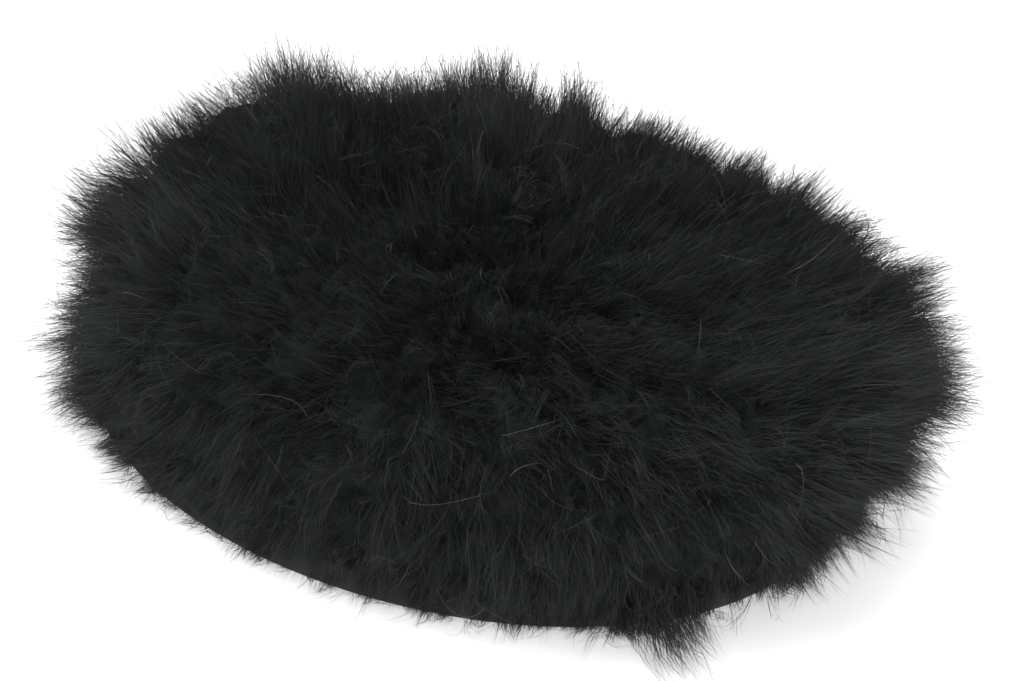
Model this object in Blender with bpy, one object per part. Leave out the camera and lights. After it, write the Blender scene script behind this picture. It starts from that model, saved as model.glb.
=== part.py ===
# Feather hat: a felt cap with a ribbon folded round its edge, and rows of marabou plumes sewn over it.
# Metres, +Z up. The hat rests on its rim at z = 0 and its front is towards -X.
# The origin is on that surface, in the middle of the opening for the head.
import math
import random

import bmesh
import bpy
from mathutils import Vector

# Felt cap
RIM_LENGTH = 0.200  # outside of the felt at the rim, front to back
RIM_WIDTH = 0.168
CROWN_SET_BACK = 0.008  # the crown's middle lies this far behind the rim's
CROWN_LENGTH = 0.196
CROWN_WIDTH = 0.163
CAP_HEIGHT = 0.0555
SPRING_HEIGHT = 0.033  # the wall turns into the dome here
DOME_FULLNESS = 2.6  # power of the dome's curve: 2 is an ellipse, more is squarer
FELT = 0.002
CAP_SIDES = 44
CAP_RINGS = 9

# Ribbon folded over the felt's edge
RIBBON = 0.0009
RIBBON_HEIGHT = 0.0065
CLEARANCE = 0.0003  # between pieces that touch on the real hat

# Marabou rows
ROWS = 6
BACKING = 0.0014  # the cord and quills that each row's plumes grow from
ROW_GAP = 0.0008  # along the cap, between one row and the next
CROWN_TUFT_RADIUS = 0.022  # along the cap, from its top to the nearest row
CROWN_TUFT_LOCKS = 9
LOCK_SPACING = 0.0125  # round the cap
FEWEST_LOCKS = 6  # in a ring, however small

# Locks of plumes
LOCK_LENGTH = 0.0195  # from the felt to a mean tip
LOCK_AT_RIM = 0.30  # share of that length that the plumes have at the rim
LOCK_FULL_RISE = 0.80  # share of the cap's height above which they have all of it
LOCK_SPREAD = 0.10  # each lock's length varies by this share
BELLY_HEIGHT = 0.58  # share of a lock's length where it is still full
BELLY_FILL = 0.86  # share of its place that a lock fills there
DROOP = 0.20  # how far locks lean towards the rim, for each unit of length
DROOP_AT_RIM = 0.65  # the same for the lowest locks, which hang over the ribbon
DROOP_SETTLES = 0.33  # share of the way up the cap by which locks have their usual droop
DROOP_FADES = 0.67  # share of the way up from which it fades, to none at the top
TIP_STRAY = 0.25  # how far a tip strays, as a share of its lock's width
TIP_FLOOR = 0.0025  # no tip comes lower than this
SEED = 7

# Where locks are longer or shorter than the rest. Bearing is in degrees from the front,
# round by the side with +Y. Rise is a share of the way up the cap, reach a share of the
# crown's length, and gain a share of the lock's length.
SWELLS = (
    # bearing, rise, reach, gain
    (0, 0.30, 0.45, 0.14),
    (38, 0.42, 0.20, 0.08),
    (90, 0.45, 0.40, -0.08),
    (121, 0.42, 0.16, -0.14),
    (180, 0.30, 0.45, 0.13),
    (196, 0.14, 0.10, -0.30),
    (270, 0.45, 0.40, -0.08),
)

FELT_EDGE = RIBBON + CLEARANCE  # height of the felt's lower edge
PROFILE_STEPS = 160
FULL_TURN = 2 * math.pi
SMALL = 1e-4  # a short step along the cap, to find its slope
SHARP_DEG = 50  # edges sharper than this are shaded as edges

BLACK_FELT = dict(name="felt", colour=(0.020, 0.021, 0.022), roughness=0.95)
BLACK_RIBBON = dict(name="ribbon", colour=(0.026, 0.027, 0.029), roughness=0.7)
BLACK_MARABOU = dict(name="marabou", colour=(0.012, 0.013, 0.014), roughness=0.85)


def clear_scene():
    for thing in list(bpy.data.objects):
        bpy.data.objects.remove(thing, do_unlink=True)


def mix(low, high, share):
    return low + (high - low) * share


def cap_profile():
    """(run, spread, height) up the cap: run is the way along it, spread its share of full width."""
    wall_height = SPRING_HEIGHT - FELT_EDGE
    dome_height = CAP_HEIGHT - SPRING_HEIGHT
    mean_radius = (CROWN_LENGTH + CROWN_WIDTH) / 4
    power = 2 / DOME_FULLNESS
    curve = [(1.0, FELT_EDGE + wall_height * i / PROFILE_STEPS) for i in range(PROFILE_STEPS)]
    for i in range(PROFILE_STEPS):
        turn = math.pi / 2 * i / PROFILE_STEPS
        rise = math.sin(turn) ** power
        curve.append((math.cos(turn) ** power, SPRING_HEIGHT + dome_height * rise))
    curve.append((0.0, CAP_HEIGHT))
    points = []
    run = 0.0
    for i, (spread, height) in enumerate(curve):
        if i:
            before = curve[i - 1]
            run += math.hypot((spread - before[0]) * mean_radius, height - before[1])
        points.append((run, spread, height))
    return points


PROFILE = cap_profile()
CAP_RUN = PROFILE[-1][0]  # all the way from the felt's edge to the top


def at_run(run):
    """(spread, height) at a way along the cap."""
    run = min(max(run, 0.0), CAP_RUN)
    low, high = 0, len(PROFILE) - 1
    while high - low > 1:
        middle = (low + high) // 2
        if PROFILE[middle][0] <= run:
            low = middle
        else:
            high = middle
    a, b = PROFILE[low], PROFILE[high]
    share = (run - a[0]) / (b[0] - a[0])
    return mix(a[1], b[1], share), mix(a[2], b[2], share)


def oval_point(turn, spread, height):
    """A point of the cap's outline at a height. The wall leans back as it rises, then stands.
    Turn is an angle about the oval's middle, from +X towards +Y, before the oval is squeezed."""
    share = math.sin(math.pi / 2 * min(1.0, max(0.0, height / SPRING_HEIGHT)))
    half_length = mix(RIM_LENGTH, CROWN_LENGTH, share) / 2
    half_width = mix(RIM_WIDTH, CROWN_WIDTH, share) / 2
    middle = CROWN_SET_BACK * share
    x = middle + spread * half_length * math.cos(turn)
    y = spread * half_width * math.sin(turn)
    return Vector((x, y, height))


def cap_point(turn, run):
    return oval_point(turn, *at_run(run))


def cap_normal(turn, run):
    if run > CAP_RUN - SMALL:
        return Vector((0, 0, 1))
    low = max(0.0, run - SMALL)
    high = max(0.0, run) + SMALL
    up = cap_point(turn, min(CAP_RUN - SMALL / 2, high)) - cap_point(turn, low)
    round_about = cap_point(turn + SMALL, run) - cap_point(turn - SMALL, run)
    return round_about.cross(up).normalized()


def off_cap(turn, run, out):
    """A point that stands out from the felt's outside by a distance."""
    return cap_point(turn, run) + cap_normal(turn, run) * out


def top_point(out):
    """A point over the middle of the crown, a distance out from the felt's outside."""
    return Vector((CROWN_SET_BACK, 0, CAP_HEIGHT + out))


def off_wall(turn, height, out):
    """The same near the rim, kept level so that rings there stay flat."""
    normal = cap_normal(turn, height - FELT_EDGE)
    level = Vector((normal.x, normal.y, 0)).normalized()
    return oval_point(turn, 1.0, height) + level * out


def turns_of(count, shift=0.0):
    return [FULL_TURN * (k + shift) / count for k in range(count)]


def add_ring(mesh, points):
    return [mesh.verts.new(point) for point in points]


def join_rings(mesh, low, high):
    """Faces between two rings of as many corners each."""
    count = len(low)
    for k in range(count):
        after = (k + 1) % count
        mesh.faces.new((low[k], low[after], high[after], high[k]))


def join_to_point(mesh, ring, point):
    for k, corner in enumerate(ring):
        mesh.faces.new((corner, ring[(k + 1) % len(ring)], point))


def finish_object(name, mesh, look):
    bmesh.ops.recalc_face_normals(mesh, faces=mesh.faces)
    data = bpy.data.meshes.new(name)
    mesh.to_mesh(data)
    mesh.free()
    data.shade_smooth()
    data.set_sharp_from_angle(angle=math.radians(SHARP_DEG))
    data.materials.append(look)
    made = bpy.data.objects.new(name, data)
    bpy.context.scene.collection.objects.link(made)
    return made


def make_material(name, colour, roughness):
    look = bpy.data.materials.new(name)
    look.use_nodes = True
    shader = look.node_tree.nodes["Principled BSDF"]
    shader.inputs["Base Color"].default_value = (*colour, 1)
    shader.inputs["Roughness"].default_value = roughness
    shader.inputs["Metallic"].default_value = 0
    return look


def make_cap(look):
    """The felt shell, open below."""
    mesh = bmesh.new()
    turns = turns_of(CAP_SIDES)
    outer = [add_ring(mesh, [off_wall(turn, FELT_EDGE, 0) for turn in turns])]
    inner = [add_ring(mesh, [off_wall(turn, FELT_EDGE, -FELT) for turn in turns])]
    first = RIBBON_HEIGHT - FELT_EDGE  # a ring runs along the ribbon's top edge
    for i in range(CAP_RINGS):
        run = mix(first, CAP_RUN, i / CAP_RINGS)
        outer.append(add_ring(mesh, [off_cap(turn, run, 0) for turn in turns]))
        inner.append(add_ring(mesh, [off_cap(turn, run, -FELT) for turn in turns]))
    for rings in (outer, inner):
        for low, high in zip(rings, rings[1:]):
            join_rings(mesh, low, high)
    join_to_point(mesh, outer[-1], mesh.verts.new(top_point(0)))
    join_to_point(mesh, inner[-1], mesh.verts.new(top_point(-FELT)))
    join_rings(mesh, outer[0], inner[0])
    return finish_object("felt_cap", mesh, look)


def make_ribbon(look):
    """A ribbon that goes up the felt's outside, under its edge and up its inside."""
    far_side = CLEARANCE + RIBBON
    near_side = -FELT - CLEARANCE
    section = (
        # out from the felt's outside, height
        (far_side, 0),
        (far_side, RIBBON_HEIGHT),
        (CLEARANCE, RIBBON_HEIGHT),
        (CLEARANCE, RIBBON),
        (near_side, RIBBON),
        (near_side, RIBBON_HEIGHT),
        (near_side - RIBBON, RIBBON_HEIGHT),
        (near_side - RIBBON, 0),
    )
    mesh = bmesh.new()
    turns = turns_of(CAP_SIDES)
    rings = [add_ring(mesh, [off_wall(t, height, out) for t in turns]) for out, height in section]
    for low, high in zip(rings, rings[1:] + rings[:1]):
        join_rings(mesh, low, high)
    return finish_object("edge_ribbon", mesh, look)


def plume_length(turn, run):
    """From the felt to a lock's tip, before its own small chance difference."""
    here = cap_point(turn, run)
    grown = min(1.0, here.z / (LOCK_FULL_RISE * CAP_HEIGHT))
    gain = 0.0
    for bearing, rise, reach, more in SWELLS:
        centre = cap_point(math.pi - math.radians(bearing), rise * CAP_RUN)
        distance = (here - centre).length / (reach * CROWN_LENGTH)
        gain += more * math.exp(-distance * distance)
    return LOCK_LENGTH * mix(LOCK_AT_RIM, 1.0, grown) * (1 + gain)


def plume_way(turn, run):
    """The way a lock grows: out from the cap, with a droop towards the rim."""
    out = cap_normal(turn, run)
    if run > CAP_RUN - SMALL:
        return out
    down = (cap_point(turn, run - SMALL) - cap_point(turn, run)).normalized()
    rise = run / CAP_RUN
    droop = mix(DROOP_AT_RIM, DROOP, min(1.0, rise / DROOP_SETTLES))
    droop *= min(1.0, (1 - rise) / (1 - DROOP_FADES))
    return (out + down * droop).normalized()


def add_lock(mesh, foot, places, footing, length, stray):
    """One lock of plumes on its foot's corners: a full belly and a tip."""
    belly = []
    for turn, run in places:
        reach = length * BELLY_HEIGHT - footing
        belly.append(off_cap(turn, run, footing) + plume_way(turn, run) * reach)
    centre = sum(belly, Vector()) / len(belly)
    belly = [centre + (corner - centre) * BELLY_FILL for corner in belly]
    middle = [sum(values) / len(places) for values in zip(*places)]
    tip = cap_point(*middle) + plume_way(*middle) * length
    tip += (belly[1] - belly[0]) * stray
    tip.z = max(tip.z, TIP_FLOOR)
    full = add_ring(mesh, belly)
    join_rings(mesh, foot, full)
    join_to_point(mesh, full, mesh.verts.new(tip))


def chord_rise(low, middle, high):
    """How far a curve's middle point stands off the straight line between its ends."""
    along = high - low
    return (middle - low).cross(along).length / along.length


def row_seat(count, runs):
    """How far a row's inside stands off the round felt, so that its flat faces clear it."""
    half_step = math.pi / count
    rise = 0.0
    for turn in (0, math.pi / 2, math.pi):
        for low, high in zip(runs, runs[1:]):
            ends = [cap_point(turn + side * half_step, low) for side in (-1, 1)]
            across = chord_rise(ends[0], cap_point(turn, low), ends[1])
            middle = cap_point(turn, (low + high) / 2)
            along = chord_rise(cap_point(turn, low), middle, cap_point(turn, high))
            rise = max(rise, across + along)
    return CLEARANCE + rise


def cells_between(low, high, low_places, high_places):
    """Each cell between two rings: its four corners and their (turn, run) places."""
    count = len(low)
    for k in range(count):
        after = (k + 1) % count
        wrap = 0.0 if after else FULL_TURN
        corners = (low[k], low[after], high[after], high[k])
        places = (
            low_places[k],
            (low_places[after][0] + wrap, low_places[after][1]),
            (high_places[after][0] + wrap, high_places[after][1]),
            high_places[k],
        )
        yield corners, places


def make_row(name, look, runs, count, seed, closed=False):
    """A backing ring with a lock on each of its cells, set half a cell on at each level.
    A closed row ends in a point at the cap's top."""
    rng = random.Random(seed)
    mesh = bmesh.new()
    seat = row_seat(count, runs)
    footing = seat + BACKING
    levels = runs[:-1] if closed else runs
    places = [[(turn, run) for turn in turns_of(count, i / 2)] for i, run in enumerate(levels)]
    outer = [add_ring(mesh, [off_cap(*place, footing) for place in ring]) for ring in places]
    inner = [add_ring(mesh, [off_cap(*place, seat) for place in ring]) for ring in places]
    for low, high in zip(inner, inner[1:]):
        join_rings(mesh, low, high)
    join_rings(mesh, inner[0], outer[0])
    cells = []
    for i in range(len(outer) - 1):
        cells += cells_between(outer[i], outer[i + 1], places[i], places[i + 1])
    if closed:
        join_to_point(mesh, inner[-1], mesh.verts.new(top_point(seat)))
        top = mesh.verts.new(top_point(footing))
        for corners, spots in cells_between(outer[-1], outer[-1], places[-1], places[-1]):
            middle_turn = (spots[0][0] + spots[1][0]) / 2
            cells.append(((*corners[:2], top), (*spots[:2], (middle_turn, CAP_RUN))))
    else:
        join_rings(mesh, inner[-1], outer[-1])
    for corners, spots in cells:
        middle = [sum(values) / len(spots) for values in zip(*spots)]
        length = plume_length(*middle) * (1 + rng.uniform(-LOCK_SPREAD, LOCK_SPREAD))
        add_lock(mesh, corners, spots, footing, length, rng.uniform(-TIP_STRAY, TIP_STRAY))
    return finish_object(name, mesh, look)


def make_marabou(look):
    """Rows from just above the ribbon to the crown, and a tuft that closes the top."""
    foot = RIBBON_HEIGHT + ROW_GAP - FELT_EDGE
    crown = CAP_RUN - CROWN_TUFT_RADIUS
    row_height = (crown - foot) / ROWS
    for row in range(ROWS):
        low = foot + row_height * row
        high = low + row_height - ROW_GAP
        middle = (low + high) / 2
        girth = math.pi * at_run(middle)[0] * (CROWN_LENGTH + CROWN_WIDTH) / 2
        count = max(FEWEST_LOCKS, round(girth / LOCK_SPACING))
        make_row(f"marabou_row_{row + 1}", look, (low, middle, high), count, SEED + row)
    runs = (crown, crown + CROWN_TUFT_RADIUS / 2, CAP_RUN)
    make_row("marabou_crown", look, runs, CROWN_TUFT_LOCKS, SEED + ROWS, closed=True)


def main():
    clear_scene()
    make_cap(make_material(**BLACK_FELT))
    make_ribbon(make_material(**BLACK_RIBBON))
    make_marabou(make_material(**BLACK_MARABOU))


main()
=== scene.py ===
import math

import bpy
import numpy as np
from mathutils import Matrix, Vector


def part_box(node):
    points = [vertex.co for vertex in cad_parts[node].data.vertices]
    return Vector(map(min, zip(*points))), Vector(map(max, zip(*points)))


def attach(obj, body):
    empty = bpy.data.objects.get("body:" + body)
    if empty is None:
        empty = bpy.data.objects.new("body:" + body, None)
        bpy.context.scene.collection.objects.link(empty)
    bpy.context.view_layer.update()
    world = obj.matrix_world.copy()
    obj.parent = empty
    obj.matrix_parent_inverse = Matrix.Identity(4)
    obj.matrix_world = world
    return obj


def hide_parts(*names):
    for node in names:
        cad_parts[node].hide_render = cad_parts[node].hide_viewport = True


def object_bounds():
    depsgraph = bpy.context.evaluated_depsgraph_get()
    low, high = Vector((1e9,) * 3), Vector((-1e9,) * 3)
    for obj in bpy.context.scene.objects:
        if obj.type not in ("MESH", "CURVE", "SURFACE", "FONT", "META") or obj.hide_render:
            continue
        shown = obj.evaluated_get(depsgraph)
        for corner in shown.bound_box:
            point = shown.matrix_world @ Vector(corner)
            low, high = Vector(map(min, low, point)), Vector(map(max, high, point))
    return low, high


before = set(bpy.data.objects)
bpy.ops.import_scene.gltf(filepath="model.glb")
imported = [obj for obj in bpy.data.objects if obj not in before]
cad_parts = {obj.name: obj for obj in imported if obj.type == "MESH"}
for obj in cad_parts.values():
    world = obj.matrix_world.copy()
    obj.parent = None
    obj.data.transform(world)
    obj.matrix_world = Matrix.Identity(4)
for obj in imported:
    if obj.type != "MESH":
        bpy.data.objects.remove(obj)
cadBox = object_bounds()
print("frame loaded:", len(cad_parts), "nodes")

# The camera looks at the hat from its side and from above, rolled so that the hat's back hangs lower.
shot = {
    "elevation": 32.92,  # degrees above the floor
    "roll": 11.9,
    "distance": 0.9,
    "lens": 119.8,  # mm, on a sensor 36 mm wide
    "lookAt": (0.0076, 0.0, 0.029),
}


def setCamera():
    rise = math.radians(shot["elevation"])
    roll = math.radians(shot["roll"])
    back = Vector((0, -math.cos(rise), math.sin(rise)))
    right = Vector((1, 0, 0))
    up = back.cross(right)
    rolledRight = right * math.cos(roll) + up * math.sin(roll)
    rolledUp = up * math.cos(roll) - right * math.sin(roll)
    place = Matrix((rolledRight, rolledUp, back)).transposed().to_4x4()
    place.translation = Vector(shot["lookAt"]) + back * shot["distance"]
    lens = bpy.data.cameras.new("camera")
    lens.lens = shot["lens"]
    camera = bpy.data.objects.new("camera", lens)
    camera.matrix_world = place
    bpy.context.scene.collection.objects.link(camera)
    bpy.context.scene.camera = camera


setCamera()


# Shader maths: a Wire holds one socket of a material, and sums and products of wires add their Math nodes.
class Wire:
    def __init__(self, tree, socket=None):
        self.tree = tree
        self.socket = socket

    def node(self, kind, settings=None, inputs=None, output=0):
        made = self.tree.nodes.new(kind)
        for name, value in (settings or {}).items():
            setattr(made, name, value)
        for name, value in (inputs or {}).items():
            if isinstance(value, Wire):
                self.tree.links.new(value.socket, made.inputs[name])
            else:
                made.inputs[name].default_value = value
        return Wire(self.tree, made.outputs[output])

    def sum(self, operation, first, second):
        return self.node("ShaderNodeMath", {"operation": operation}, {0: first, 1: second})

    def __add__(self, other):
        return self.sum("ADD", self, other)

    def __sub__(self, other):
        return self.sum("SUBTRACT", self, other)

    def __rsub__(self, other):
        return self.sum("SUBTRACT", other, self)

    def __mul__(self, other):
        return self.sum("MULTIPLY", self, other)

    def __pow__(self, other):
        return self.sum("POWER", self, other)

    __radd__ = __add__
    __rmul__ = __mul__

    def blend(self, first, second):  # colours, mixed by this wire
        return self.node("ShaderNodeMix", {"data_type": "RGBA"}, {0: self, 6: first, 7: second}, 2)


def shade(value, tint=(1.0, 1.0, 1.0)):
    return (value * tint[0], value * tint[1], value * tint[2], 1.0)


def newFinish(name, fixed):
    # a material with its shader; the fixed values are the same all over the surface
    finish = bpy.data.materials.new(name)
    finish.use_nodes = True
    shader = finish.node_tree.nodes["Principled BSDF"]
    for socket, value in fixed.items():
        shader.inputs[socket].default_value = value
    return finish, Wire(finish.node_tree), shader


def feed(finish, shader, wires):
    for socket, wire in wires.items():
        finish.node_tree.links.new(wire.socket, shader.inputs[socket])


def bump(wire, height, strength, depth):
    return wire.node("ShaderNodeBump", None, {"Height": height, "Strength": strength, "Distance": depth})


tiny = 1e-9  # keeps a division from zero


def unit(vectors):
    return vectors / np.maximum(np.linalg.norm(vectors, axis=-1, keepdims=True), tiny)


def loose(shape, rng, spread=0.7, longest=1.7):
    # chance vectors of length about 1
    vectors = rng.normal(size=(*shape, 3)) * spread
    size = np.linalg.norm(vectors, axis=-1, keepdims=True)
    return vectors * np.minimum(1, longest / np.maximum(size, tiny))


def either(spread, shape, rng):
    # factors around 1, up to the spread above or below it
    return 1 + rng.uniform(-1, 1, shape) * spread


class Mesh:
    # gathers points and faces in arrays, and makes one object of them
    def __init__(self):
        self.points, self.corners, self.sizes, self.uvs, self.finishes = [], [], [], [], []
        self.count = 0

    def add(self, points, corners, sizes, uv, finish=0):
        points = points.reshape(-1, 3)
        self.points.append(points)
        self.corners.append(corners + self.count)
        self.sizes.append(sizes)
        self.uvs.append(uv)
        self.finishes.append(np.full(len(sizes), finish))
        self.count += len(points)

    def addGrid(self, points, finish=0, turned=False):
        # rings of points, one above another, each closed round
        rings, around = points.shape[:2]
        index = np.arange(rings * around).reshape(rings, around)
        after = np.roll(index, -1, axis=1)
        quads = np.stack([index[:-1], after[:-1], after[1:], index[1:]], axis=-1).reshape(-1, 4)
        u = np.arange(around + 1) / around
        v = np.arange(rings) / (rings - 1)
        grid = np.stack(np.meshgrid(u, v), axis=-1)
        uv = np.stack([grid[:-1, :-1], grid[:-1, 1:], grid[1:, 1:], grid[1:, :-1]], axis=2)
        uv = uv.reshape(-1, 4, 2)
        if turned:
            quads, uv = quads[:, ::-1], uv[:, ::-1]
        self.add(points, quads.ravel(), np.full(len(quads), 4), uv.reshape(-1, 2), finish)

    def make(self, name, *finishes):
        sizes = np.concatenate(self.sizes)
        mesh = bpy.data.meshes.new(name)
        mesh.vertices.add(self.count)
        mesh.vertices.foreach_set("co", np.concatenate(self.points).astype(np.float32).ravel())
        corners = np.concatenate(self.corners)
        mesh.loops.add(len(corners))
        mesh.loops.foreach_set("vertex_index", corners.astype(np.int32))
        mesh.polygons.add(len(sizes))
        mesh.polygons.foreach_set("loop_start", (np.cumsum(sizes) - sizes).astype(np.int32))
        mesh.polygons.foreach_set("material_index", np.concatenate(self.finishes).astype(np.int32))
        mesh.update(calc_edges=True)
        mesh.shade_smooth()
        uvs = np.concatenate(self.uvs).astype(np.float32)
        mesh.uv_layers.new(name="OFBake").uv.foreach_set("vector", uvs.ravel())
        for finish in finishes:
            mesh.materials.append(finish)
        piece = bpy.data.objects.new(name, mesh)
        bpy.context.scene.collection.objects.link(piece)
        return piece


# The cap's outer surface, as a formula of the turn round it and of the run up it.
cap = {
    "rimLength": 0.200,
    "rimWidth": 0.168,
    "crownLength": 0.196,
    "crownWidth": 0.163,
    "setBack": 0.008,  # how far the crown sits behind the rim
    "height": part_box("felt_cap")[1].z,
    "spring": 0.033,  # the wall turns into the dome at this height
    "fullness": 2.6,  # of the dome; 2 would be an ellipse
    "edge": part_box("felt_cap")[0].z,
    "felt": 0.002,
    "clearance": 0.0003,  # between felt and ribbon
    "profileSteps": 400,
}


def capProfile():
    # run, share of the full spread, and height, from the felt's edge to the top
    steps = np.linspace(0, 1, cap["profileSteps"])
    power = 2 / cap["fullness"]
    wall = cap["edge"] + (cap["spring"] - cap["edge"]) * steps
    angle = steps[1:] * math.pi / 2
    spread = np.concatenate([np.ones_like(wall), np.maximum(np.cos(angle), 0) ** power])
    height = np.concatenate([wall, cap["spring"] + (cap["height"] - cap["spring"]) * np.sin(angle) ** power])
    radius = (cap["crownLength"] + cap["crownWidth"]) / 4
    stretch = np.hypot(np.diff(spread) * radius, np.diff(height))
    return np.concatenate([[0], np.cumsum(stretch)]), spread, height


profileRun, profileSpread, profileHeight = capProfile()
capRun = profileRun[-1]


def ovalPoint(turn, spread, height):
    lean = np.sin(math.pi / 2 * np.clip(height / cap["spring"], 0, 1))
    halfLength = (cap["rimLength"] + (cap["crownLength"] - cap["rimLength"]) * lean) / 2
    halfWidth = (cap["rimWidth"] + (cap["crownWidth"] - cap["rimWidth"]) * lean) / 2
    across = cap["setBack"] * lean + spread * halfLength * np.cos(turn)
    return np.stack([across, spread * halfWidth * np.sin(turn), height + 0 * turn], axis=-1)


def capPoint(turn, run):
    run = np.clip(run, 0, capRun)
    spread = np.interp(run, profileRun, profileSpread)
    return ovalPoint(turn, spread, np.interp(run, profileRun, profileHeight))


def capAxes(turn, run):
    # the way out from the cap, and the way down it towards the rim
    step = 2e-4
    run = np.clip(run, step, capRun - 2 * step)
    down = capPoint(turn, run - step) - capPoint(turn, run + step)
    around = capPoint(turn + step, run) - capPoint(turn - step, run)
    return unit(np.cross(down, around)), unit(down)


# How long the plumes are, and how far they droop: the same form as the solid rows.
plumes = {
    "length": 0.0195,
    "atRim": 0.30,  # share of that length at the rim
    "fullRise": 0.80,  # share of the cap's height above which they are full
    "droop": 0.20,
    "droopAtRim": 0.65,
    "droopSettles": 0.33,  # share of the way up where the rim's droop has passed into the rest's
    "droopFades": 0.67,  # and from where it fades out towards the crown
    "swells": (
        # bearing from the front in degrees, share of the way up, reach, gain
        (0, 0.30, 0.45, 0.14),
        (38, 0.42, 0.20, 0.08),
        (90, 0.45, 0.40, -0.08),
        (121, 0.42, 0.16, -0.14),
        (180, 0.30, 0.45, 0.13),
        (196, 0.14, 0.10, -0.30),
        (270, 0.45, 0.40, -0.08),
    ),
    "fringe": (
        # the same, for the loose barbs alone
        (342, 0.12, 0.09, 0.95),
        (8, 0.20, 0.10, 0.35),
        (316, 0.05, 0.04, 0.70),
        (42, 0.30, 0.08, 0.42),
        (58, 0.34, 0.08, -0.42),
        (74, 0.38, 0.07, 0.42),
        (116, 0.32, 0.06, 0.32),
        (140, 0.34, 0.09, 0.25),
        (180, 0.22, 0.20, 0.42),
        (194, 0.10, 0.11, -0.56),
        (210, 0.10, 0.05, 0.75),
        (224, 0.03, 0.07, -0.60),
        (239, 0.06, 0.055, 1.90),
    ),
    "bare": ((226, 0.04, 0.08, -0.85),),  # where the plumes stand thin, over the cloth
}


def gainAt(here, table):
    gain = np.ones(here.shape[:-1])
    for bearing, rise, reach, more in table:
        centre = capPoint(math.pi - math.radians(bearing), rise * capRun)
        distance = np.linalg.norm(here - centre, axis=-1) / (reach * cap["crownLength"])
        gain = gain + more * np.exp(-distance * distance)
    return gain


def plumeLength(here):
    grown = np.minimum(1, here[..., 2] / (plumes["fullRise"] * cap["height"]))
    share = plumes["atRim"] + (1 - plumes["atRim"]) * grown
    return plumes["length"] * share * gainAt(here, plumes["swells"])


def plumeDroop(run):
    rise = run / capRun
    settled = np.minimum(1, rise / plumes["droopSettles"])
    droop = plumes["droopAtRim"] + (plumes["droop"] - plumes["droopAtRim"]) * settled
    return droop * np.clip((1 - rise) / (1 - plumes["droopFades"]), 0, 1)


def drift(points, size, rng, waveCount=7, damp=3):
    # a smooth chance field over the hat, about -1 to 1, with lumps of the given size
    waves = unit(rng.normal(size=(waveCount, 3))) * (2 * math.pi / size)
    waves = waves * rng.uniform(0.6, 1.4, size=(waveCount, 1))
    shifts = rng.uniform(0, 2 * math.pi, waveCount)
    return np.sin(points @ waves.T + shifts).sum(axis=-1) / damp


print("cap form ready, run", round(float(capRun), 4))

# Down: each tuft has wisps, and each wisp has barbs whose tips draw together.
down = {
    "spacing": 0.0054,  # between tufts, on the felt
    "levels": 3,  # rings of tufts in a row
    "jitter": 0.45,  # share of the spacing
    "wisps": 15,
    "barbs": 12,
    "tuftSpread": 0.0034,
    "wispSpread": 0.0011,
    "flow": (0.20, 0.30, 0.05),  # lean down, lean aside, and the size of the stretches that lean alike
    "clump": (0.41, 0.014),  # how far neighbouring tufts lean together, and the size of such a lock
    "combed": 0.76,  # more droop on the side where the hat is stroked down
    "combedFrom": 0.25,  # fades out over this share at the crown
    "combedEdge": 1.5,  # above 1, less of it reaches round to the other side
    "swell": (0.28, 0.018),  # share of the length, and size of the longer and shorter stretches
    "tuftTilt": 0.26,
    "wispTilt": 0.24,
    "barbTilt": 0.12,
    "tuftVaries": 0.25,  # share of the length
    "wispVaries": 0.16,
    "shortest": 0.60,
    "longest": 1.26,  # against the solid plumes
    "longAreFew": 1.3,  # above 1, long barbs are rarer than short ones
    "loner": 0.10,  # share of the barbs that keep out of their wisp
    "wispBend": 0.42,
    "barbBend": 0.26,
    "sag": 0.10,
    "gather": 0.70,  # how far a wisp's tips draw together
    "gatherLoner": 0.2,
    "gatherVaries": 0.3,
    "gatherMost": 0.95,
    "tuftGather": 0.56,  # how far a tuft's tips draw together
    "fan": (0.42, -0.026),  # how far the barbs spread towards the hat's ends, and from where
    "hug": 1.4,  # more droop for the lowest barbs, which lie over the ribbon
    "hugLessAtFront": 0.15,
    "hugFades": 0.18,  # share of the way up the cap
    "hugShorter": 0.02,  # share by which they are shorter
    "trails": 0.10,  # share of the barbs that may pass below the rim
    "trailsMore": 0.6,  # more of them where the fringe is longer
    "fringeLifts": 0.8,  # and less droop there
    "droopLeftAtFront": 0.30,  # share of the plumes' droop that is left at the front
    "overRibbon": 0.0050,  # the lowest row starts this much lower than its solid
    "ribbonLift": 0.0016,  # and this much further out, clear of the ribbon
    "firstRing": 0.2,  # where the lowest row's first ring sits between two levels
    "starts": 0.30,  # barbs show from this share of their length
    "startsAtRim": 0.08,
    "startsVary": 0.15,
    "fineShare": 0.9,  # share of the barbs with fewer bends
    "width": 0.00014,
    "lowest": 0.0004,
    "room": (0.010, 0.03),  # metres, and share of each side, by which down may pass the solid model
    "stayInside": 0.92,  # share of that room that strands may use
    "cutBack": 0.72,  # strands that pass it end between this share of their way to it and all of it
    "wispTone": 0.15,
    "barbTone": (0.02, 0.10),
    "seed": 11,
}
# Painted light: where down is paler, as more tone. It stands in for bounce light from the floor near the rim,
# and for more light on the hat's ends, on the far side towards the front and on the near side towards the
# back. Places are shares of half the rim's length and width.
pale = {
    "rim": 0.95,
    "rimHeight": 0.021,  # metres
    "ends": 0.30,
    "endsFrom": 0.4,
    "endsMost": 0.8,
    "farFront": 1.5,  # on the far side, from farFrom on, and from the front up to frontTo
    "farFrom": 0.2,
    "frontTo": 0.5,
    "nearBack": 0.4,  # on the near side, up to nearTo, and towards the back
    "nearTo": 0.2,
}
stations = np.array([0.0, 0.42, 0.75, 1.0])  # along the part of a barb that shows
taper = np.array([1.0, 0.95, 0.7, 0.0])


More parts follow.
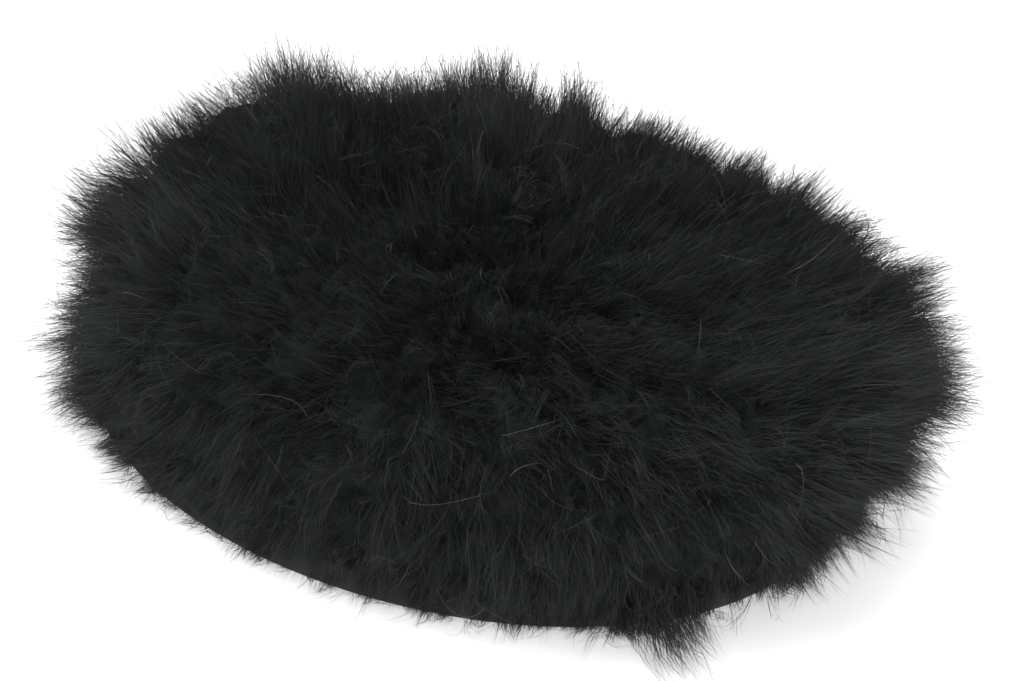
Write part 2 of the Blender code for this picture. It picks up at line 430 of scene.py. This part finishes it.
def tuftPlaces(low, high, rng):
    # turn and run of each tuft of a row, in staggered rings
    turns, runs = [], []
    level = (high - low) / down["levels"]
    for ring in range(down["levels"]):
        between = down["firstRing"] if low < rows["foot"] else 0.5
        run = low + level * (ring + between)
        spread = float(np.interp(run, profileRun, profileSpread))
        girth = math.pi * spread * (cap["crownLength"] + cap["crownWidth"]) / 2
        count = max(4, round(girth / down["spacing"]))
        turn = (np.arange(count) + ring / 2) * 2 * math.pi / count
        turns.append(turn + rng.uniform(-1, 1, count) * down["jitter"] * 2 * math.pi / count)
        runs.append(run + rng.uniform(-1, 1, count) * down["jitter"] * level)
    return np.concatenate(turns), np.concatenate(runs)


def strokedDown(turn, run):
    # more droop towards the -Y side, none at the crown
    side = (0.5 - 0.5 * np.sin(turn)) ** down["combedEdge"]
    return down["combed"] * side * np.clip((1 - run / capRun) / down["combedFrom"], 0, 1)


def clumpLean(points, axis):
    # tufts lean together wherever a chance field peaks
    strength, size = down["clump"]
    step = size / 8  # small against a lock, to read the field's slope
    ahead = drift(points + axis * step, size, np.random.default_rng(down["seed"]))
    behind = drift(points - axis * step, size, np.random.default_rng(down["seed"]))
    return strength * (ahead - behind)


def keepInside(lines, roots, trails, rng):
    # strands that would leave the room round the solid model are shorter, each by its own chance,
    # and so are those that would pass below the rim, but for a share that trails on
    low, high = np.array(cadBox[0]), np.array(cadBox[1])
    proud, perSide = down["room"]
    room = (proud + perSide * (high - low)) * down["stayInside"]
    slight = 1e-4  # metres, keeps the divisions from zero
    way = lines - roots[:, None]
    least = np.minimum(low - room - roots, -slight)
    most = np.maximum(high + room - roots, slight)
    over = np.maximum(way.min(axis=1) / least, way.max(axis=1) / most).max(axis=1)
    passing = way[..., 2].min(axis=1) / np.minimum(down["lowest"] - roots[:, 2], -slight)
    over = np.where(rng.random(len(lines)) < trails, over, np.maximum(over, passing))
    share = np.where(over > 1, rng.uniform(down["cutBack"], 1, len(lines)) / np.maximum(over, 1), 1)
    lines = roots[:, None] + way * share[:, None, None]
    lines[..., 2] = np.maximum(lines[..., 2], down["lowest"])
    return lines


# painted light: how much paler the down is painted near the rim, at the ends and on the far and near sides
def paintedLightTone(points):
    rim = pale["rim"] * np.exp(-points[:, 2] / pale["rimHeight"])
    across, away = points[:, 0] / (cap["rimLength"] / 2), points[:, 1] / (cap["rimWidth"] / 2)
    far = pale["farFront"] * np.clip(away - pale["farFrom"], 0, 1)
    far = far * np.clip(pale["frontTo"] - across, 0, 1)
    back = pale["nearBack"] * np.clip(across, 0, 1) * np.clip(pale["nearTo"] - away, 0, 1)
    return rim + far + back + pale["ends"] * np.clip(np.abs(across) - pale["endsFrom"], 0, pale["endsMost"])


def growBarbs(low, high, rng, fieldRng):
    # centre lines of all a row's barbs, with a tone for each, painted light included
    turn, run = tuftPlaces(low, high, rng)
    thick = rng.random(len(turn)) < gainAt(capPoint(turn, run), plumes["bare"])
    turn, run = turn[thick], run[thick]
    tufts, wisps, barbs = len(turn), down["wisps"], down["barbs"]
    root = capPoint(turn, run)
    out, fall = capAxes(turn, run)
    side = np.cross(out, fall)
    leanDown, leanAside, flowSize = down["flow"]
    fallsMore, goesAside = (lean * drift(root, flowSize, fieldRng) for lean in (leanDown, leanAside))
    swell = down["swell"][0] * drift(root, down["swell"][1], fieldRng)
    lowDown = np.clip(1 - run / capRun / down["hugFades"], 0, 1)
    atFront = np.clip(-np.cos(turn), 0, 1) ** 2
    droop = plumeDroop(run) * (1 - (1 - down["droopLeftAtFront"]) * atFront) + strokedDown(turn, run)
    more = gainAt(root, plumes["fringe"])
    droop = droop / np.maximum(1, more) ** down["fringeLifts"]
    droop = droop + down["hug"] * lowDown * (1 - down["hugLessAtFront"] * atFront)
    fallsMore = fallsMore + clumpLean(root, fall)
    goesAside = goesAside + clumpLean(root, side)
    way = out + fall * (droop + fallsMore)[:, None] + side * goesAside[:, None]
    way[:, 0] += down["fan"][0] * (root[:, 0] - down["fan"][1]) / (cap["rimLength"] / 2)
    way = unit(unit(way) + loose((tufts,), rng) * down["tuftTilt"])
    length = plumeLength(root) * (1 + swell) * either(down["tuftVaries"], tufts, rng)
    length = length * (1 - down["hugShorter"] * lowDown)
    root = root + out * (down["ribbonLift"] * lowDown)[:, None]

    def level(shape, reach):
        # scattered over the felt, not along the way out of it
        flat = out.reshape(tufts, *[1] * (len(shape) - 1), 3)
        spread = loose(shape, rng) * reach
        return spread - flat * (spread * flat).sum(axis=-1, keepdims=True)

    wispShape, shape = (tufts, wisps), (tufts, wisps, barbs)
    wispRoot = root[:, None] + level(wispShape, down["tuftSpread"])
    wispWay = unit(way[:, None] + loose(wispShape, rng) * down["wispTilt"])
    wispBend = loose(wispShape, rng) * down["wispBend"] - np.array([0, 0, down["sag"]])
    wispLength = length[:, None] * either(down["wispVaries"], wispShape, rng)
    wispLength = wispLength * gainAt(wispRoot, plumes["fringe"])

    barbRoot = wispRoot[:, :, None] + level(shape, down["wispSpread"])
    barbWay = unit(wispWay[:, :, None] + loose(shape, rng) * down["barbTilt"])
    barbBend = wispBend[:, :, None] + loose(shape, rng) * down["barbBend"]
    loner = (rng.random(shape) < down["loner"])[..., None]
    share = rng.uniform(0, 1, (*shape, 1)) ** down["longAreFew"]
    share = down["shortest"] + (down["longest"] - down["shortest"]) * share
    gather = np.where(loner, down["gatherLoner"], down["gather"])
    gather = gather * either(down["gatherVaries"], (*shape, 1), rng)
    starts = down["starts"] + (down["startsAtRim"] - down["starts"]) * lowDown
    begins = starts[:, None, None, None] * either(down["startsVary"], (*shape, 1), rng)

    lines = []
    for station in stations:
        along = begins + (1 - begins) * station
        reach = wispLength[..., None, None] * share * along
        own = barbRoot + unit(barbWay + barbBend * along) * reach
        axis = wispRoot[:, :, None] + unit(wispWay[:, :, None] + wispBend[:, :, None] * along) * reach
        line = own + (axis - own) * np.clip(gather * along * along, 0, down["gatherMost"])
        middle = root[:, None, None] + way[:, None, None] * reach
        lines.append(line + (middle - line) * np.where(loner, 0, down["tuftGather"] * along ** 3))
    lines = np.stack(lines, axis=-2).reshape(-1, len(stations), 3)
    trails = np.repeat(down["trails"] + down["trailsMore"] * (more - 1), wisps * barbs)
    lines = keepInside(lines, barbRoot.reshape(-1, 3), trails, rng)
    wispTone = down["wispTone"] * rng.uniform(0, 1, (tufts, wisps, 1)) ** 2
    # each barb's tone is chance per wisp and per barb, plus painted light
    tone = (wispTone + rng.uniform(*down["barbTone"], shape)).reshape(-1) + paintedLightTone(lines[:, 0])
    return lines, np.clip(tone, 0, 1)


def addRibbons(mesh, lines, marks, width, tone, rng):
    # flat tapered ribbons along centre lines, quads with a pointed tip; marks are shares of the length
    count, bends = lines.shape[:2]
    along = np.gradient(lines, axis=1)
    twist = np.broadcast_to(rng.normal(size=(count, 1, 3)), along.shape)
    sides = unit(np.cross(along, twist))
    wide = width * rng.uniform(0.5, 1.3, (count, 1, 1)) / 2 * np.interp(marks, stations, taper)[None, :, None]
    left, right = lines - sides * wide, lines + sides * wide
    pairs = np.stack([left[:, :-1], right[:, :-1]], axis=2).reshape(count, -1, 3)
    points = np.concatenate([pairs, lines[:, -1:]], axis=1)
    pattern = [corner for k in range(bends - 2) for corner in (2 * k, 2 * k + 1, 2 * k + 3, 2 * k + 2)]
    pattern += [2 * bends - 4, 2 * bends - 3, 2 * bends - 2]
    corners = (np.arange(count)[:, None] * (2 * bends - 1) + np.array(pattern)).ravel()
    sizes = np.tile([4] * (bends - 2) + [3], count)
    inset, halfStrip = 0.01, 0.002  # each ribbon is a narrow strip of the map, clear of its border
    u = inset + np.append(np.repeat(marks[:-1], 2), marks[-1]) * (1 - 2 * inset)
    v = inset + tone[:, None] * (1 - 2 * inset) + np.append(np.tile([-1, 1], bends - 1), 0) * halfStrip
    spots = np.stack([np.broadcast_to(u, (count, len(u))), v], axis=-1)
    mesh.add(points, corners, sizes, spots.reshape(-1, 2)[corners])


# The close under-down that hides the felt between the barbs.
underDown = {
    "share": 0.45,  # of the plumes' length
    "around": 300,
    "up": 12,
    "lump": 0.16,
    "jagged": 0.30,  # chance height of each point
    "flattened": 0.20,  # on the side where the hat is stroked down
    "fringe": (0.70, 1.15),  # it follows the plumes' fringe between these gains
    "overlap": 0.003,  # of each row over the next
    "edges": 0.1,  # a row's two edges keep this share of its height, and so leave no slit
    "tuck": 0.010,  # it thins out over this run towards the rim
    "thinnest": 0.06,
    "margin": 0.0002,  # from the top of the cap and from its edge
    "lowest": 0.6,  # share of the height of the lowest row's foot
}


def underPoints(low, high, foot):
    over, margin = underDown["overlap"], underDown["margin"]
    runs = np.linspace(max(low - over, foot), high + over, underDown["up"])
    runs = np.clip(runs, margin, capRun - margin)
    turns = np.arange(underDown["around"]) * 2 * math.pi / underDown["around"]
    turn, run = np.meshgrid(turns, runs)
    out, fall = capAxes(turn, run)
    base = capPoint(turn, run)
    way = unit(out + fall * plumeDroop(run)[..., None])
    lumps = 1 + underDown["lump"] * drift(base, down["clump"][1], np.random.default_rng(down["seed"]))
    lumps = lumps * np.clip(gainAt(base, plumes["fringe"]), *underDown["fringe"])
    rowSeed = round(low * 1e5)  # its own for each row
    lumps = lumps * either(underDown["jagged"], run.shape, np.random.default_rng(rowSeed))
    tucked = np.clip((run - foot) / underDown["tuck"], underDown["thinnest"], 1)
    tucked = tucked * gainAt(base, plumes["bare"])
    tucked = tucked * (1 - underDown["flattened"] * strokedDown(turn, run))
    reach = plumeLength(base) * underDown["share"] * lumps * tucked
    reach[0] *= underDown["edges"]
    reach[-1] *= underDown["edges"] if high + over < capRun else 1
    points = base + way * reach[..., None]
    points[..., 2] = np.maximum(points[..., 2], foot * underDown["lowest"])
    return points


# Shades of the down, each from its darkest to its palest, and their tints. The barbs reach their palest
# mostly through painted light in their tone.
downShades = {
    "barbs": (0.0150, 0.058),
    "loose": (0.014, 0.036),
    "under": (0.009, 0.018),
    "darkTint": (0.89, 1.0, 0.96),
    "paleTint": (0.92, 1.0, 0.97),
    "underTint": (0.87, 1.0, 0.96),
    "fluffScale": 1100.0,
}


def downColour(wire, name):
    dark, light = downShades[name]
    return wire.blend(shade(dark, downShades["darkTint"]), shade(light, downShades["paleTint"]))


def barbTone(wire):
    # u runs along a barb from its root to its tip, and v holds its tone, which for the rows' barbs includes
    # painted light
    place = wire.node("ShaderNodeUVMap", {"uv_map": "OFBake"})
    return [wire.node("ShaderNodeSeparateXYZ", None, {0: place}, axis) for axis in (0, 1)]


def downFinish():
    finish, wire, shader = newFinish("black_down", {"Specular IOR Level": 0.16})
    along, tone = barbTone(wire)
    # painted shade and light: barbs are darker at their roots, deep in the down, and paler towards their tips
    colour = downColour((0.4 + 0.6 * along) * tone, "barbs")
    feed(finish, shader, {"Base Color": colour, "Roughness": 0.68 - 0.12 * tone})
    return finish


def looseFinish():
    finish, wire, shader = newFinish("loose_black_down", {"Specular IOR Level": 0.18})
    along, tone = barbTone(wire)
    colour = downColour(tone * (1.0 - 0.3 * along), "loose")
    feed(finish, shader, {"Base Color": colour, "Roughness": 0.60 - 0.12 * tone})
    return finish


def underFinish():
    finish, wire, shader = newFinish("black_under_down", {"Specular IOR Level": 0.05})
    place = wire.node("ShaderNodeTexCoord", None, None, 3)
    scale = downShades["fluffScale"]
    fluff = wire.node("ShaderNodeTexNoise", None, {"Vector": place, "Scale": scale, "Detail": 3.0})
    dark, light = downShades["under"]
    colour = fluff.blend(shade(dark, downShades["underTint"]), shade(light, downShades["underTint"]))
    feed(finish, shader, {
        "Base Color": colour,
        "Roughness": 0.9 + 0.1 * fluff,
        "Normal": bump(wire, fluff, 0.8, 0.001),
    })
    return finish


rows = {"count": 6, "foot": 0.0061, "crownRadius": 0.022}


def makeRow(name, node, low, high, seed, finishes):
    rng = np.random.default_rng(seed)
    fieldRng = np.random.default_rng(down["seed"])  # the same smooth field for every row
    start = low - down["overRibbon"] if low == rows["foot"] else low
    lines, tone = growBarbs(start, high, rng, fieldRng)
    fine = rng.random(len(lines)) < down["fineShare"]
    mesh = Mesh()
    addRibbons(mesh, lines[fine][:, [0, 1, 3]], stations[[0, 1, 3]], down["width"], tone[fine], rng)
    addRibbons(mesh, lines[~fine], stations, down["width"], tone[~fine], rng)
    mesh.addGrid(underPoints(low, high, rows["foot"]), 1)
    piece = mesh.make(name, *finishes)
    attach(piece, "root")
    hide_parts(node)
    print(name, "barbs", len(lines), "triangles", sum(len(p.vertices) - 2 for p in piece.data.polygons))


def makeMarabou():
    finishes = (downFinish(), underFinish())
    crown = capRun - rows["crownRadius"]
    height = (crown - rows["foot"]) / rows["count"]
    for k in range(rows["count"]):
        low = rows["foot"] + height * k
        makeRow(f"plumes_row_{k + 1}", f"marabou_row_{k + 1}", low, low + height, down["seed"] + k, finishes)
    makeRow("plumes_crown", "marabou_crown", crown, capRun, down["seed"] + rows["count"], finishes)


makeMarabou()

# Small loose wisps and a few long glossy hairs lie over the down at all angles; the hairs' glints are painted
# highlights in their colour.
wisps = {
    "count": 1150,
    "barbs": 8,
    "shortest": 0.0035,
    "longest": 0.0105,
    "lies": (0.62, 0.96),  # share of the plumes' length, least and most
    "turned": 1.3,  # how far they lean from the plumes' way
    "bend": 0.7,
    "spread": 0.0006,
    "fan": 0.16,
    "width": 0.00008,
    "crowd": (0.0, 262, 25),  # share of them that gathers near the rim, its bearing and its spread
    "seed": 31,
}
longWisps = {
    "count": 520,
    "barbs": 7,
    "shortest": 0.009,
    "longest": 0.018,
    "lies": (0.50, 0.85),
    "turned": 0.40,
    "bend": 0.5,
    "spread": 0.0008,
    "fan": 0.09,
    "width": 0.0001,
    "crowd": (0.35, 338, 13),
    "seed": 47,
}
hairs = {
    "count": 230,
    "barbs": 1,
    "shortest": 0.008,
    "longest": 0.022,
    "lies": (0.84, 0.98),
    "turned": 2.2,
    "bend": 1.5,
    "spread": 0.0,
    "fan": 0.0,
    "width": 0.00007,
    "crowd": (0.35, 258, 26),
    "seed": 23,
}
laidOver = {
    # the same for all three
    "crowdRise": 0.35,  # share of the way up that a crowd reaches
    "curlIn": 0.4,  # bend back towards the hat
    "varies": 0.2,  # share of the length, and of the tone
    "tone": (0.1, 1),
    "trails": 0.3,  # share that may pass below the rim
    "bends": (8, 5),  # points along a lone hair, and along a wisp's barbs
}
# painted highlight: the palest hair shade stands in for glints of gloss on a few hairs
hairHighlightShades = {"dark": 0.02, "pale": 0.17, "paleTint": (0.98, 1.0, 0.99)}


def hairFinish():
    finish, wire, shader = newFinish("glossy_hair", {"Specular IOR Level": 0.5})
    along, tone = barbTone(wire)
    # painted highlight: hairs of high tone are painted pale, most of all at their roots
    lit = tone ** 2.0 * (1.0 - 0.5 * along)
    colour = lit.blend(shade(hairHighlightShades["dark"]), shade(hairHighlightShades["pale"], hairHighlightShades["paleTint"]))
    feed(finish, shader, {"Base Color": colour, "Roughness": 0.5 - 0.1 * tone})
    return finish


def layOver(name, sizes, finish):
    # strands in small groups, which start in the plumes' ends and lean over them
    rng = np.random.default_rng(sizes["seed"])
    count, shape = sizes["count"], (sizes["count"], sizes["barbs"])
    turn = rng.uniform(0, 2 * math.pi, count)
    run = rows["foot"] + (capRun - rows["foot"]) * (1 - np.sqrt(rng.uniform(0, 1, count)))
    share, bearing, around = sizes["crowd"]
    crowded = rng.random(count) < share
    turn = np.where(crowded, math.pi - np.radians(rng.normal(bearing, around, count)), turn)
    crowdRun = rows["foot"] + capRun * rng.uniform(0, laidOver["crowdRise"], count)
    run = np.where(crowded, crowdRun, run)
    out, fall = capAxes(turn, run)
    base = capPoint(turn, run)
    plumeWay = unit(out + fall * (plumeDroop(run) + strokedDown(turn, run))[:, None])
    start = base + plumeWay * (plumeLength(base) * rng.uniform(*sizes["lies"], count))[:, None]
    lean = loose((count,), rng) * sizes["turned"]
    way = unit(plumeWay + lean - out * np.minimum((lean * out).sum(axis=1, keepdims=True), 0))
    bend = loose((count,), rng) * sizes["bend"] - out * laidOver["curlIn"]
    length = rng.uniform(sizes["shortest"], sizes["longest"], (count, 1, 1))
    length = length * either(laidOver["varies"], (*shape, 1), rng)
    starts = start[:, None] + loose(shape, rng) * sizes["spread"]
    ways = unit(way[:, None] + loose(shape, rng) * sizes["fan"])
    bends = bend[:, None] + loose(shape, rng) * sizes["fan"]
    marks = np.linspace(0, 1, laidOver["bends"][sizes["barbs"] > 1])
    lines = np.stack([starts + unit(ways + bends * m) * length * m for m in marks], axis=2)
    lines = lines.reshape(-1, len(marks), 3)
    lines = keepInside(lines, starts.reshape(-1, 3), laidOver["trails"], rng)
    tone = np.repeat(rng.uniform(*laidOver["tone"], count), sizes["barbs"])
    tone = np.clip(tone * either(laidOver["varies"], len(tone), rng), 0, 1)
    mesh = Mesh()
    addRibbons(mesh, lines, marks, sizes["width"], tone, rng)
    piece = mesh.make(name, finish)
    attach(piece, "root")


looseDown = looseFinish()
layOver("loose_wisps", wisps, looseDown)
layOver("long_wisps", longWisps, looseDown)
layOver("glossy_hairs", hairs, hairFinish())
print("wisps and hairs laid over the down")


# The moulded felt and the ribbon folded over its edge.
felt = {
    "around": 176,
    "up": 26,
    "closes": 0.9995,  # share of the run to the top
    "wave": 0.00012,
    "waveSize": 0.03,
    "waveSeed": 176,
    "shadeLow": 0.008,
    "shadeHigh": 0.034,
    "tint": (0.88, 1.0, 0.96),
}
ribbon = {
    "height": 0.0065,
    "thick": 0.0009,
    "around": 264,
    "roundSteps": 5,
    "foldRound": 0.0011,
    "edgeRound": 0.0002,
    "knee": 0.6,  # share of its height where its sides have one more ring
    "edgeWave": 0.00012,  # how far its upper edge dips
    "edgeWaves": (9, 2, 4),  # dips round the hat, and how far and how often they sway aside
    "shadeLow": 0.012,
    "shadeHigh": 0.034,
    "tint": (0.86, 1.0, 0.96),
}


def offWall(turn, height, out):
    # points beside the cap's wall, out from the felt's outside
    normal = capAxes(turn, np.maximum(height - cap["edge"], 0) + 0 * turn)[0]
    level = normal * np.array([1, 1, 0])
    return ovalPoint(turn, 1.0, height + 0 * turn) + unit(level) * out


def feltFinish():
    finish, wire, shader = newFinish("black_felt", {"Specular IOR Level": 0.2})
    place = wire.node("ShaderNodeTexCoord", None, None, 3)
    fibres = wire.node("ShaderNodeTexNoise", None, {"Vector": place, "Scale": 900.0, "Detail": 4.0})
    patches = wire.node("ShaderNodeTexNoise", None, {"Vector": place, "Scale": 90.0, "Detail": 3.0})
    mask = fibres * 0.6 + patches * 0.4
    colour = mask.blend(shade(felt["shadeLow"]), shade(felt["shadeHigh"], felt["tint"]))
    feed(finish, shader, {
        "Base Color": colour,
        "Roughness": 0.86 + 0.12 * patches,
        "Normal": bump(wire, fibres, 0.5, 0.0004),
    })
    return finish


def ribbonFinish():
    finish, wire, shader = newFinish("black_ribbon", {"Specular IOR Level": 0.35})
    place = wire.node("ShaderNodeTexCoord", None, None, 3)
    weave = {"Vector": place, "Scale": 900.0, "Distortion": 1.0}
    ribs = wire.node("ShaderNodeTexWave", {"bands_direction": "Z"}, weave)
    slubs = wire.node("ShaderNodeTexNoise", None, {"Vector": place, "Scale": 300.0, "Detail": 5.0})
    mask = ribs * 0.4 + slubs * 0.6
    colour = mask.blend(shade(ribbon["shadeLow"]), shade(ribbon["shadeHigh"], ribbon["tint"]))
    feed(finish, shader, {
        "Base Color": colour,
        "Roughness": 0.55 + 0.25 * slubs,
        "Normal": bump(wire, mask, 0.4, 0.0002),
    })
    return finish


def makeFelt():
    turns = np.arange(felt["around"]) * 2 * math.pi / felt["around"]
    runs = capRun * np.linspace(0, felt["closes"], felt["up"])
    turn, run = np.meshgrid(turns, runs)
    out = capAxes(turn, run)[0]
    base = capPoint(turn, run)
    wave = felt["wave"] * drift(base, felt["waveSize"], np.random.default_rng(felt["waveSeed"]))[..., None]
    outer = base + out * (wave - felt["wave"])
    inner = base + out * (wave - cap["felt"])
    outer[0] = offWall(turns, cap["edge"], -felt["wave"])
    inner[0] = offWall(turns, cap["edge"], -cap["felt"])
    mesh = Mesh()
    mesh.addGrid(np.concatenate([inner[::-1], outer]))
    piece = mesh.make("felt_shell", feltFinish())
    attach(piece, "root")
    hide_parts("felt_cap")


def ribbonSection():
    # out from the felt's outside, and height: down the outside, under the edge, up the inside and back
    height, thick, fold, edge = (ribbon[name] for name in ("height", "thick", "foldRound", "edgeRound"))
    far = cap["clearance"] + thick
    near = -cap["felt"] - cap["clearance"] - thick
    knee = height * ribbon["knee"]
    angles = np.linspace(0, math.pi / 2, ribbon["roundSteps"])
    section = [(far, height - edge), (far, knee)]
    section += [(far - fold * (1 - math.cos(a)), fold * (1 - math.sin(a))) for a in angles]
    section += [(near + fold * (1 - math.sin(a)), fold * (1 - math.cos(a))) for a in angles]
    section += [(near, knee), (near, height - edge), (near + edge, height)]
    section += [(near + thick, height), (near + thick, thick)]
    section += [(cap["clearance"], thick), (cap["clearance"], height), (far - edge, height)]
    return section


def makeRibbon():
    turns = np.arange(ribbon["around"]) * 2 * math.pi / ribbon["around"]
    waves, sway, sways = ribbon["edgeWaves"]
    wave = ribbon["edgeWave"] * np.sin(turns * waves + sway * np.sin(turns * sways))
    rings = []
    for out, height in ribbonSection():
        lift = wave * (height / ribbon["height"]) ** 2
        still = 0 * lift
        rings.append(offWall(turns, height, out) + np.stack([still, still, np.minimum(lift, 0)], axis=-1))
    mesh = Mesh()
    mesh.addGrid(np.stack(rings + rings[:1]), turned=True)
    piece = mesh.make("folded_ribbon", ribbonFinish())
    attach(piece, "root")
    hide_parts("edge_ribbon")


makeFelt()
makeRibbon()
print("felt and ribbon made")

# Studio: a pale floor that glows a little, a white room and soft boxes.
studio = {
    "floorSide": 12.0,
    "floorGlow": 0.55,
    "room": 0.85,
    "white": (0.86, 0.89),
    "whiteTint": (0.99, 1.0, 1.0),
    "softBoxes": (
        # name, place, side, power
        ("top_light", (-0.3, 0.2, 1.2), 0.9, 12),
        ("left_light", (-1.1, -0.5, 0.7), 0.7, 6),
    ),
}


def makeFloor():
    half = studio["floorSide"] / 2
    points = np.array([(-half, -half, 0), (half, -half, 0), (half, half, 0), (-half, half, 0)])
    fixed = {"Specular IOR Level": 0.1, "Emission Strength": studio["floorGlow"]}
    finish, wire, shader = newFinish("pale_floor", fixed)
    place = wire.node("ShaderNodeTexCoord", None, None, 3)
    cloud = wire.node("ShaderNodeTexNoise", None, {"Vector": place, "Scale": 3.0, "Detail": 2.0})
    dull, bright = studio["white"]
    white = cloud.blend(shade(dull), shade(bright, studio["whiteTint"]))
    feed(finish, shader, {"Base Color": white, "Emission Color": white, "Roughness": 0.7 + 0.1 * cloud})
    mesh = Mesh()
    mesh.add(points, np.arange(4), np.array([4]), np.array([(0, 0), (1, 0), (1, 1), (0, 1)]))
    mesh.make("floor", finish)


def softBox(name, place, side, power):
    lamp = bpy.data.lights.new(name, "AREA")
    lamp.shape = "SQUARE"
    lamp.size = side
    lamp.energy = power
    box = bpy.data.objects.new(name, lamp)
    box.location = place
    box.rotation_mode = "QUATERNION"
    box.rotation_quaternion = (Vector(place) - Vector(shot["lookAt"])).to_track_quat("Z", "Y")
    bpy.context.scene.collection.objects.link(box)


def makeStudio():
    makeFloor()
    world = bpy.data.worlds.new("white_room")
    world.use_nodes = True
    world.node_tree.nodes["Background"].inputs["Color"].default_value = shade(1.0)
    world.node_tree.nodes["Background"].inputs["Strength"].default_value = studio["room"]
    bpy.context.scene.world = world
    for name, place, side, power in studio["softBoxes"]:
        softBox(name, place, side, power)
    bpy.context.scene.view_settings.view_transform = "Standard"


makeStudio()
print("studio ready")
